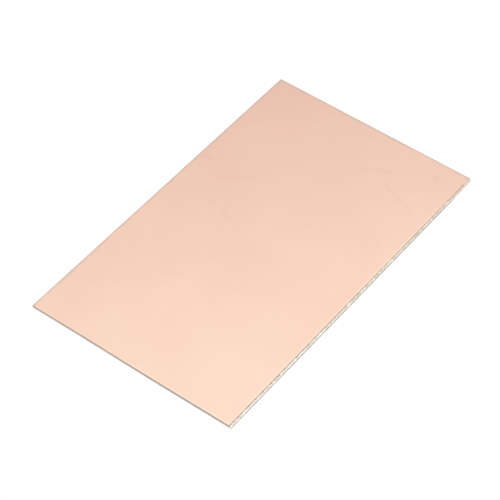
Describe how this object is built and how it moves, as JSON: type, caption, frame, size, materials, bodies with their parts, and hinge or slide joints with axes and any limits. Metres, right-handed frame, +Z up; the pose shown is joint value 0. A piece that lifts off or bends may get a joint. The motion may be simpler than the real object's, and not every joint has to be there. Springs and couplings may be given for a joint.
{
  "type": "copper-clad board",
  "caption": "Flat rectangular blank of glass-epoxy laminate clad with copper foil on each face, with square-cut edges and a sloping sheared long edge.",
  "frame": {"origin": "centre of the overall box at the underside, where the lower foil rests", "axes": "+Z up, out of the upper copper face; +Y along the long edges; +X across the board towards the sheared long edge"},
  "size_m": [0.09, 0.15, 0.0012],
  "materials": {
    "copper": "satin bare copper foil, pale salmon, unlacquered",
    "glass_epoxy": "cut woven glass-epoxy laminate, warm cream, rough on its edges"
  },
  "bodies": {
    "root": {"copper_foil_top": "copper", "glass_epoxy_core": "glass_epoxy", "copper_foil_bottom": "copper"}
  },
  "joints": []
}
